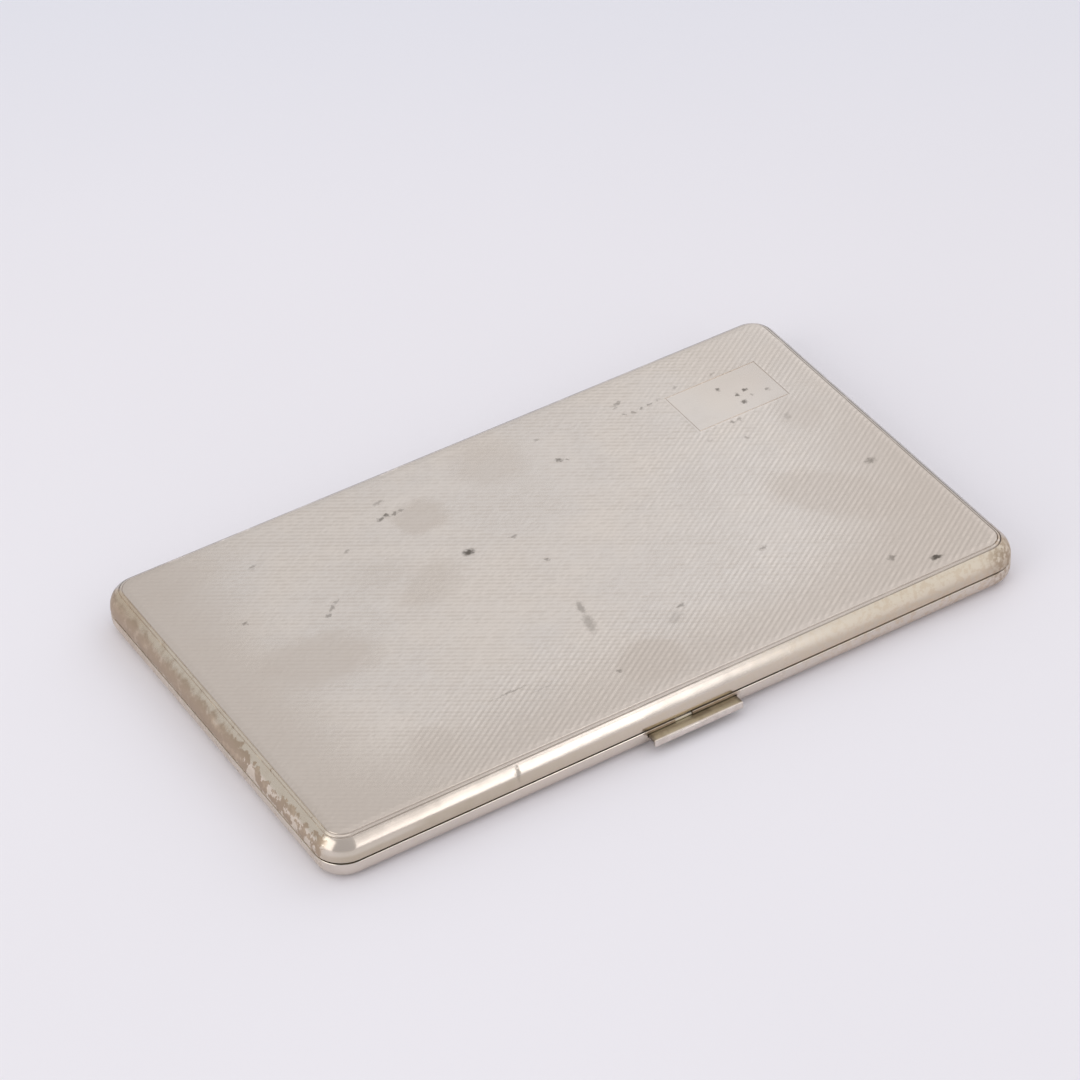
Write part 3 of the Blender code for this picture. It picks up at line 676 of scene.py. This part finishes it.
def edge_tarnish_with_painted_light(finish, place, colour, roughness, amount):
    """The worn outer edges: walls toned by tarnish and painted shade, a painted sheen, mottled brown left
    edge, rubbed right end, and border lines and far edges darkened by dirt and painted shade. Returns the
    new colour and roughness, and how metallic the surface still is."""
    x, y, z = finish.parts(place)
    rim = rim_distance(finish, x, y)
    island = finish.noise(place, 0.46, 5.0, 0.66)
    smear = finish.noise(finish.moved(place, scale=(1.0, 0.35, 1.0)), 0.5, 3.0, 0.5)
    blotch = finish.noise(place, 0.9, 4.0, 0.65)

    # Walls below the bright band: warm at the right, olive towards the left end of the front
    # Their tone is tarnish together with the painted shade of the shadowed table that they mirror
    wall = z.eased(6.6, 6.0)
    under = z.eased(4.1, 3.8)
    warm = (0.85 + (smear - 0.5) * 0.8).lowest(1.0)
    colour = finish.blend(colour, SIDE_TARNISH_AND_SHADE, wall * warm * (1 - under * 0.6))
    olive = wall * (1 - under) * x.eased(-8.0, -44.0) * y.eased(-39.0, -41.0)
    colour = finish.blend(colour, OLIVE_TARNISH_AND_SHADE, olive * (0.65 + (smear - 0.5) * 0.9))
    # A painted sheen low on the wall at the left end of the front
    painted_sheen = wall * x.eased(-49.0, -57.0) * y.eased(-37.0, -39.0) * z.eased(5.1, 5.8)
    colour = finish.blend(colour, PAINTED_HIGHLIGHT, painted_sheen * 0.25)

    # Left edge: brown along the lower shoulder behind, islands with crisp edges in front
    left = x.eased(-67.3, -67.8) * y.eased(-38.6, -37.2)
    behind = y.eased(-17.0, -4.0)
    low_half = rim.eased(1.50, 0.95) * (1 - behind) + rim.eased(1.9, 0.0) * behind
    low_half = low_half * (0.45 + z.eased(4.1, 4.7) * 0.55)
    clouds = finish.noise(place, 0.28, 3.0, 0.6)
    tanned = (y.eased(14.0, 36.0) + (clouds - 0.5) * 1.3).highest(0.0).lowest(1.0)
    upper_tone = finish.blend(CREAM, TAN, tanned)
    colour = finish.blend(colour, upper_tone, left * 0.85 * amount)
    need = 0.61 - low_half * 0.115 - low_half * behind * 0.20 + (clouds - 0.5) * 0.16
    brown = ((island - need) * (1 - behind * 0.92)).eased(-0.012, 0.014) * left * (1 - under * 0.55)
    pale = ((smear - 0.34) - y.eased(4.0, 34.0) * 0.10 + (blotch - 0.5) * 0.9).eased(0.12, 0.48)
    tone = finish.blend(BROWN, TAN, pale * 0.6)
    colour = finish.blend(colour, tone, brown * 0.94 * amount)

    # Right end: rubbed and blotchy along the front, dark at the corner. Middle: brown beside the thumb bar
    rubbed = rim.eased(2.0, 1.6) * y.eased(-37.0, -39.0) * x.eased(4.0, 46.0)
    colour = finish.blend(colour, CREAM, rubbed * z.eased(5.2, 6.4))
    colour = finish.blend(colour, TAN, rubbed * blotch.eased(0.46, 0.60) * 0.55)
    slot = (x - BAR_MIDDLE_X).size().eased(10.0, 8.7) * z.eased(2.5, 3.0) * under * y.eased(-40.6, -41.1)
    colour = finish.blend(colour, BROWN, slot * (0.70 + (blotch - 0.5) * 0.8))
    corner = (x + y.size() * 0.9).eased(96.0, 102.0) * x.eased(60.0, 66.0) * y.eased(10.0, -10.0)
    colour = finish.blend(colour, BROWN, corner * blotch.eased(0.38, 0.60) * 0.80)

    # The border lines, dark and broken with dirt and painted shade, darkest along the hinge side and the
    # right side, and a painted shade along those far edges that takes away their metal
    far_side = y.eased(36.5, 38.5).highest(x.eased(66.0, 67.0))
    outer = (rim - OUTER_LINE).size().eased(0.17, 0.06)
    inner = (rim - INNER_LINE).size().eased(0.15, 0.05)
    broken = finish.noise(finish.moved(place, scale=(0.16, 0.16, 1.0)), 1.0, 4.0, 0.7)
    line_dirt_and_shade = (outer * 0.95).highest(inner * 0.6) * broken.eased(0.34, 0.48)
    colour = finish.blend(colour, DEEP_BROWN, line_dirt_and_shade * (0.30 + far_side * 0.65))
    painted_edge_shade = y.eased(38.2, 39.4).highest(x.eased(67.0, 68.2) * y.eased(-36.0, -26.0) * 0.8)
    painted_edge_shade = painted_edge_shade * rim.eased(2.3, 1.7) * (0.40 + broken.eased(0.38, 0.56) * 0.60)
    colour = finish.blend(colour, EDGE_PAINTED_SHADE, painted_edge_shade * 0.90)
    roughness = roughness + slot * 0.25 + brown * 0.22 + rubbed * 0.28 + corner * 0.15 + left * 0.04
    roughness = roughness + wall * 0.02 + outer.highest(inner) * 0.34
    return colour, roughness, 1 - painted_edge_shade * 0.85


def tarnished_silver_with_painted_light(name, rough, marked=False, edged=0.0, cut_face=False, rubbed=0.0):
    """Silver plate with haze and hairlines. Marked adds the lid's patches and pits and painted shade towards
    the panel's front, edged the worn edges with their painted shade and sheen and how brown they are,
    cut_face dirt and painted shade in the cuts, and rubbed a share of painted highlight colour."""
    finish = Finish(name, Metallic=1.0)
    place = finish.place()
    x, y, _ = finish.parts(place)
    haze = finish.noise(place, 0.055, 3.0, 0.55)
    mottle = finish.noise(place, 0.45, 4.0, 0.6, 0.4)
    grain = finish.noise(place, 6.0, 3.0, 0.6)
    colour = finish.blend(SILVER, SILVER_COOL, haze.eased(0.35, 0.65))
    shade = (mottle - 0.5) * 0.5 + (haze - 0.5) * 0.8
    shade = shade.highest(0.0)
    roughness = rough + (haze - 0.5) * 0.12 + (grain - 0.5) * 0.10

    lines = finish.hairlines(place, 17, 0.16, 0.30)
    lines = lines.highest(finish.hairlines(place, -38, 0.13, 0.28))
    lines = lines.highest(finish.hairlines(place, 71, 0.20, 0.27))
    roughness = roughness + lines * 0.10

    if marked:
        warped = finish.drifted(place, 0.30, 4.6)
        for px, py, half_x, half_y, turn, strength, soft in PATCHES:
            shade = shade.highest(finish.spot(warped, px, py, half_x, half_y, turn, soft) * strength)
        # Darker towards both ends and a little at the back; along the front the darkening is painted shade
        ends = (x - y * 0.5).eased(40.0, 78.0).highest(x.eased(-46.0, -64.0) * 0.80)
        ends = ends.highest(y.eased(30.0, 38.0) * 0.10)
        strip = y.eased(-20.0, -36.0) * 0.72
        ends = ends + strip * (1 - ends)
        # Painted shade near the front left border, tinted olive
        front_left = rim_distance(finish, x, y).eased(4.6, 3.0)
        front_left = front_left * x.eased(-20.0, -58.0) * y.eased(-20.0, -36.0)
        ends = ends.highest(front_left)
        colour = finish.blend(colour, OLIVE_TARNISH_AND_SHADE, front_left * 0.45)
        shade = shade + ends * (1 - shade)
    colour = finish.blend(colour, SILVER_SHADE, shade.lowest(1.0))
    roughness = roughness + shade * 0.08

    # Rubbed lays painted highlight colour over the surface
    if rubbed:
        colour = finish.blend(colour, PAINTED_HIGHLIGHT, rubbed)
    if cut_face:
        # Dirt and painted shade in the cuts
        cuts = finish.add("ShaderNodeAttribute", {"attribute_name": "cut_depth"}, None, "Fac")
        colour = finish.blend(colour, SILVER_SHADE, cuts * (0.30 + grain * 0.75))
    if edged:
        colour, roughness, metal = edge_tarnish_with_painted_light(finish, place, colour, roughness, edged)
        finish.feed(Metallic=metal)

    if marked:
        warped = finish.drifted(place, 1.3, 1.8)
        pits = None
        for px, py, half_x, half_y, turn, strength in PITS:
            pit = finish.spot(warped, px, py, half_x, half_y, turn, 0.55) * strength ** 1.4
            pits = pit if pits is None else pits.highest(pit)
        flecks = finish.noise(place, 3.4, 2.0, 0.6)
        pits = pits * (0.66 + flecks * 0.6).lowest(1.0)
        colour = finish.blend(colour, DARK_MARK, pits)
        roughness = roughness + pits * 0.35

    wave = finish.noise(place, 0.10, 2.0, 0.5)
    height = finish.bump(wave, 0.00006)
    height = finish.bump(1 - lines, 0.0000012, height)
    height = finish.bump(grain, 0.0000034 if cut_face else 0.0000010, height)
    finish.feed(Base_Color=colour, Roughness=roughness.highest(0.06).lowest(0.9), Normal=height)
    return finish


def bar_finish_with_painted_light(name):
    """The thumb bar: olive on its flat, a painted reflection of the lid's warm wall above it, paler where
    fingers rub the front flange, and darker at its ends with painted shade.
    """
    finish = Finish(name, Metallic=1.0)
    place = finish.place()
    x, y, _ = finish.parts(place)
    cloud = finish.noise(place, 0.55, 4.0, 0.6, 0.4)
    grain = finish.noise(place, 6.0, 3.0, 0.6)
    rubbed = y.eased(-43.15, -43.50)
    flat = finish.blend(BAR_OLIVE, BAR_OLIVE_DARK, cloud.eased(0.45, 0.68) * 0.8)
    spot = (x - 2.0).size().eased(2.6, 1.2) * y.eased(-42.9, -42.3)
    flat = finish.blend(flat, BAR_STAIN, spot * 0.55)
    pale = finish.blend(SILVER, SILVER_SHADE, cloud.eased(0.40, 0.60) * 0.5)
    colour = finish.blend(flat, pale, rubbed)
    # Painted shade at the bar's ends, where the gaps of its slot lie
    ends = (x - BAR_MIDDLE_X).size().eased(8.1, 8.8)
    colour = finish.blend(colour, DEEP_BROWN, ends * (1 - rubbed) * 0.65)
    height = finish.bump(grain, 0.0000015)
    finish.feed(Base_Color=colour, Roughness=0.42 - rubbed * 0.16 + (grain - 0.5) * 0.10, Normal=height)
    return finish


def gilt_wash(name, rough=0.26):
    """Thin gilding over silver: satin, rubbed pale where cigarettes slid, deeper in the corners."""
    finish = Finish(name, Metallic=1.0)
    place = finish.place()
    x, y, _ = finish.parts(place)
    haze = finish.noise(place, 0.06, 3.0, 0.6)
    cloud = finish.noise(place, 0.5, 4.0, 0.6, 0.5)
    brushed = finish.noise(finish.moved(place, scale=(6.0, 0.12, 1.0)), 1.0, 2.0, 0.6)
    rub = finish.noise(finish.moved(place, scale=(0.9, 0.06, 1.0)), 1.0, 3.0, 0.5)
    edge = x.size().eased(60.0, 69.5).highest(y.size().eased(33.0, 41.0))
    colour = finish.blend(GILT, GILT_PALE, rub.eased(0.46, 0.68) * (1 - edge))
    colour = finish.blend(colour, GILT_DEEP, (edge * 0.45 + (cloud - 0.5) * 0.9).highest(0.0).lowest(0.85))
    speck = finish.noise(place, 1.1, 4.0, 0.7).eased(0.70, 0.78)
    colour = finish.blend(colour, DARK_MARK, speck * 0.45)
    lines = finish.hairlines(place, 84, 0.15, 0.30).highest(finish.hairlines(place, 55, 0.22, 0.28))
    roughness = rough + (haze - 0.5) * 0.16 + (brushed - 0.5) * 0.12 + lines * 0.12 + speck * 0.2
    height = finish.bump(finish.noise(place, 0.08, 2.0, 0.5), 0.00005)
    height = finish.bump(brushed, 0.0000015, height)
    height = finish.bump(1 - lines, 0.0000012, height)
    finish.feed(Base_Color=colour, Roughness=roughness.highest(0.08).lowest(0.9), Normal=height)
    return finish


def spring_metal(name):
    """Drawn spring metal with fine lengthwise marks and darker spots."""
    finish = Finish(name, Metallic=1.0)
    place = finish.place()
    drawn = finish.noise(finish.moved(place, scale=(0.10, 5.0, 5.0)), 1.0, 3.0, 0.6)
    spots = finish.noise(place, 1.2, 4.0, 0.65).eased(0.56, 0.70)
    colour = finish.blend(STEEL, STEEL_DARK, (spots * 0.7 + (drawn - 0.5) * 0.5).highest(0.0))
    height = finish.bump(drawn, 0.000002)
    finish.feed(Base_Color=colour, Roughness=0.28 + drawn * 0.16 + spots * 0.2, Normal=height)
    return finish


def woven_elastic(name):
    """Ribbed woven elastic: fine warp threads, aged and a little soiled along the middle."""
    finish = Finish(name, Metallic=0.0, Sheen_Weight=0.25, Sheen_Roughness=0.5, Specular_IOR_Level=0.25)
    place = finish.place()
    _, y, _ = finish.parts(place)

    def waves(axis, scale, distortion, detail_scale):
        return finish.add("ShaderNodeTexWave",
                          {"wave_type": "BANDS", "bands_direction": axis, "wave_profile": "SIN"},
                          {"Vector": place, "Scale": scale, "Distortion": distortion, "Detail": 1.0,
                           "Detail Scale": detail_scale}, "Fac")

    weave = waves("Y", 0.55, 0.6, 3.0) * 0.6 + waves("X", 1.1, 0.8, 2.0) * 0.4
    fuzz = finish.noise(place, 5.0, 3.0, 0.7)
    soil = finish.noise(place, 0.12, 3.0, 0.6).eased(0.42, 0.70)
    colour = finish.blend(ELASTIC_DEEP, ELASTIC, (weave * 0.8 + fuzz * 0.3).lowest(1.0))
    colour = finish.blend(colour, ELASTIC_SOILED, soil * 0.45)
    edge = y.size().eased(3.3, 3.7)
    colour = finish.blend(colour, ELASTIC_EDGE, edge * 0.35)
    height = finish.bump(weave, 0.00006)
    height = finish.bump(fuzz, 0.00002, height)
    finish.feed(Base_Color=colour, Roughness=0.78 + fuzz * 0.15, Normal=height)
    return finish


# The small metal pieces: their sharp CAD edges get a fine rounding that catches the light

def round_edges(piece, width):
    apply_modifier(piece, "BEVEL", width=width, segments=2, limit_method="ANGLE", angle_limit=ROUNDED_ANGLE)
    smooth(piece)


def soften(node, name, body, finish, width):
    piece = copy_of(node, name)
    edit(piece)
    bpy.ops.mesh.select_all(action="SELECT")
    bpy.ops.mesh.dissolve_limited(angle_limit=FLAT_ANGLE)
    done()
    round_edges(piece, width)
    give(piece, finish)
    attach(piece, body)
    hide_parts(node)


def make_spring(finish):
    """The bowed leaf spring, with finely rounded edges."""
    leaf = copy_of("catch_spring", "bowed_catch_spring")
    round_edges(leaf, SPRING_ROUND)
    give(leaf, finish)
    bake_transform(leaf)
    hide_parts("catch_spring")


# The elastic band: rows of ribs, the thinner selvedges, the room at its sides and the sheet under the ribs

RIBS = 148
BAND_ROWS = 10
RIB_HEIGHT = 0.00008
SELVEDGE = 0.0012
SELVEDGE_SHARE = 0.45
BAND_SIDE_GAP = 0.0002
BAND_SHEET = 0.00036


def make_band(finish):
    """A ribbed woven strip: alternate rows of vertices stand proud, and the selvedges are thinner."""
    low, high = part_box("elastic_band")
    middle = (low + high) / 2
    length, width = high.x - low.x, high.y - low.y
    bpy.ops.object.select_all(action="DESELECT")
    bpy.ops.mesh.primitive_grid_add(x_subdivisions=2 * RIBS, y_subdivisions=BAND_ROWS, size=1,
                                    location=(0, 0, 0))
    band = bpy.context.object
    band.name = "ribbed_elastic_band"
    edit(band)
    bpy.ops.transform.resize(value=(length, width - BAND_SIDE_GAP, 1), center_override=(0, 0, 0))
    bpy.ops.transform.translate(value=(middle.x, middle.y, middle.z))
    done()
    bpy.ops.object.transform_apply(location=True, rotation=True, scale=True)
    apply_modifier(band, "SOLIDIFY", thickness=BAND_SHEET, offset=0.0)
    ribs = band.vertex_groups.new(name="ribs")
    step = length / (2 * RIBS)
    for vertex in band.data.vertices:
        column = round((vertex.co.x - low.x) / step)
        inward = abs(vertex.co.y - middle.y) < width / 2 - SELVEDGE
        if column % 2 == 0:
            ribs.add([vertex.index], 1.0 if inward else SELVEDGE_SHARE, "REPLACE")
    apply_modifier(band, "DISPLACE", direction="NORMAL", mid_level=0.0, strength=RIB_HEIGHT,
                   vertex_group="ribs")
    band.vertex_groups.clear()
    apply_modifier(band, "SUBSURF", levels=1, render_levels=1)
    smooth(band, 60)
    give(band, finish)
    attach(band, "base")
    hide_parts("elastic_band")


# The photograph's view, in radians, metres and millimetres of lens, then the light and the table

CAMERA_AZIMUTH = -0.514323
CAMERA_ELEVATION = 0.691073
CAMERA_ROLL = -0.057293
CAMERA_DISTANCE = 0.786993
CAMERA_TARGET = (0.0053623, 0.0160625, 0.0)
CAMERA_LENS = 146.117
CAMERA_SENSOR = 36.0


def aim(direction, roll=0.0):
    """The turn of a camera or lamp that looks back along this direction."""
    back = Vector(direction).normalized()
    right = Vector((0, 0, 1)).cross(back).normalized()
    up = back.cross(right)
    side, rise = math.cos(roll), math.sin(roll)
    return Matrix((side * right + rise * up, side * up - rise * right, back)).transposed().to_4x4()


def direction_of(azimuth, elevation):
    return Vector((math.sin(azimuth) * math.cos(elevation), -math.cos(azimuth) * math.cos(elevation),
                   math.sin(elevation)))


def set_camera():
    data = bpy.data.cameras.new("photo_camera")
    data.lens = CAMERA_LENS
    data.sensor_width = CAMERA_SENSOR
    data.clip_start = 0.01
    data.clip_end = 20
    camera = bpy.data.objects.new("photo_camera", data)
    bpy.context.scene.collection.objects.link(camera)
    back = direction_of(CAMERA_AZIMUTH, CAMERA_ELEVATION)
    camera.matrix_world = (Matrix.Translation(Vector(CAMERA_TARGET) + back * CAMERA_DISTANCE)
                           @ aim(back, CAMERA_ROLL))
    bpy.context.scene.camera = camera


def set_lamp(name, azimuth, elevation, distance, width, height, radiance, colour, roll):
    """A soft rectangular lamp that faces the case. Its power gives the wanted radiance."""
    data = bpy.data.lights.new(name, "AREA")
    data.shape = "RECTANGLE"
    data.size = width
    data.size_y = height
    data.energy = radiance * math.pi * width * height
    data.color = colour
    lamp = bpy.data.objects.new(name, data)
    bpy.context.scene.collection.objects.link(lamp)
    toward = direction_of(math.radians(azimuth), math.radians(elevation))
    lamp.matrix_world = Matrix.Translation(toward * distance) @ aim(toward, math.radians(roll))


# Lamps: name, azimuth and elevation in degrees, distance, width and height in metres, radiance, colour, and
# roll in degrees
LAMPS = (
    ("window", 20.1, 14, 4.0, 0.40, 4.60, 1.80, (1.0, 1.0, 1.0), -15),
    ("window_top", 35.0, 49, 4.0, 0.26, 0.84, 1.60, (1.0, 1.0, 1.0), -28),
    ("side_window", -84, 21, 1.5, 1.05, 1.45, 1.25, (1.0, 0.985, 0.94), 0),
    ("ceiling", -110, 80, 1.5, 1.30, 1.30, 0.46, (1.0, 1.0, 1.0), 0),
)

# The azimuth and elevation of the room's bright side, in degrees, and its colours from the far side to there
ROOM_BRIGHT_SIDE = (105, 35)
ROOM_STOPS = (
    (0.00, (0.620, 0.620, 0.625)),
    (0.60, (0.670, 0.670, 0.675)),
    (0.85, (0.740, 0.740, 0.745)),
    (0.93, (0.900, 0.905, 0.920)),
    (1.00, (1.350, 1.360, 1.390)),
)


def set_room():
    """A pale room whose light grows towards the right and the back."""
    world = bpy.data.worlds.new("pale_room")
    bpy.context.scene.world = world
    world.use_nodes = True
    nodes, links = world.node_tree.nodes, world.node_tree.links
    nodes.clear()
    direction = nodes.new("ShaderNodeTexCoord")
    toward = nodes.new("ShaderNodeVectorMath")
    toward.operation = "DOT_PRODUCT"
    toward.inputs[1].default_value = direction_of(*(math.radians(angle) for angle in ROOM_BRIGHT_SIDE))
    share = nodes.new("ShaderNodeMapRange")
    share.inputs["From Min"].default_value = -1.0
    ramp = nodes.new("ShaderNodeValToRGB")
    background = nodes.new("ShaderNodeBackground")
    output = nodes.new("ShaderNodeOutputWorld")
    while len(ramp.color_ramp.elements) < len(ROOM_STOPS):
        ramp.color_ramp.elements.new(0.5)
    for element, (place, colour) in zip(ramp.color_ramp.elements, ROOM_STOPS):
        element.position = place
        element.color = (*colour, 1.0)
    links.new(direction.outputs["Generated"], toward.inputs[0])
    links.new(toward.outputs["Value"], share.inputs["Value"])
    links.new(share.outputs[0], ramp.inputs[0])
    links.new(ramp.outputs[0], background.inputs[0])
    links.new(background.outputs[0], output.inputs[0])


def set_table():
    bpy.ops.object.select_all(action="DESELECT")
    bpy.ops.mesh.primitive_plane_add(size=6, location=(0, 0, 0))
    table = bpy.context.object
    table.name = "table_top"
    finish = Finish("pale_table", Metallic=0.0, Roughness=0.95, Specular_IOR_Level=0.1)
    place = finish.place()
    x, y, _ = finish.parts(place)
    cloud = finish.noise(place, 0.006, 2.0, 0.5)
    near = finish.blend(TABLE, TABLE_PALE, cloud.eased(0.3, 0.7))
    # Painted shade: the table darkens and turns bluer towards the back
    far = (x * 0.49 + y * 0.87).eased(60.0, 420.0)
    finish.feed(Base_Color=finish.blend(near, TABLE_FAR_SHADED, far))
    give(table, finish)


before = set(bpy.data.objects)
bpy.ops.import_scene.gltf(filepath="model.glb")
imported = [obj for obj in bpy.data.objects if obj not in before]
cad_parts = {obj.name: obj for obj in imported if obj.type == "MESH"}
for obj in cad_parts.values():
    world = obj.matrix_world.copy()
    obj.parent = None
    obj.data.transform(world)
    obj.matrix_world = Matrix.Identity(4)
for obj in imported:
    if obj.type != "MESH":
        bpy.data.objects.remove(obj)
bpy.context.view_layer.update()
scene = bpy.context.scene
scene.view_settings.view_transform = "Standard"

set_camera()
set_room()
for lamp in LAMPS:
    set_lamp(*lamp)
set_table()

lid_silver = tarnished_silver_with_painted_light("silver_plate_lid", 0.10, marked=True, edged=1.0)
panel_silver = tarnished_silver_with_painted_light("silver_plate_engine_turned", 0.24, marked=True, cut_face=True)
base_silver = tarnished_silver_with_painted_light("silver_plate_base", 0.16, edged=0.6)
base_panel_silver = tarnished_silver_with_painted_light("silver_plate_underside", 0.26, cut_face=True)
bar_silver = bar_finish_with_painted_light("silver_plate_bar")
# The catch hook's tab is painted in highlight colour
hook_silver = tarnished_silver_with_painted_light("silver_plate_hook", 0.50, rubbed=1.0)
gilt = gilt_wash("gilt_wash_inside")
gilt_strip = gilt_wash("gilt_wash_strips", 0.22)
spring = spring_metal("spring_metal")
elastic = woven_elastic("woven_elastic")

make_lid(lid_silver, panel_silver, gilt)
make_base(base_silver, base_panel_silver, gilt)
soften("thumb_bar", "rounded_thumb_bar", "press_bar", bar_silver, ROUND)
soften("catch_hook", "rounded_catch_hook", "press_bar", hook_silver, FINE_ROUND)
soften("lid_catch_plate", "rounded_lid_catch_plate", "lid", gilt_strip, FINE_ROUND)
for side in ("left", "right", "front_left", "front_right"):
    soften("base_rim_strip_" + side, "rounded_rim_strip_" + side, "base", gilt_strip, ROUND)
for side in ("left", "right"):
    soften("band_clip_" + side, "rounded_band_clip_" + side, "base", gilt_strip, FINE_ROUND)
make_band(elastic)
make_spring(spring)

for name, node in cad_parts.items():
    if "knuckle" in name:
        give(node, base_silver)
    elif "rivet" in name:
        give(node, gilt_strip)
    elif name == "hinge_pin":
        give(node, spring)
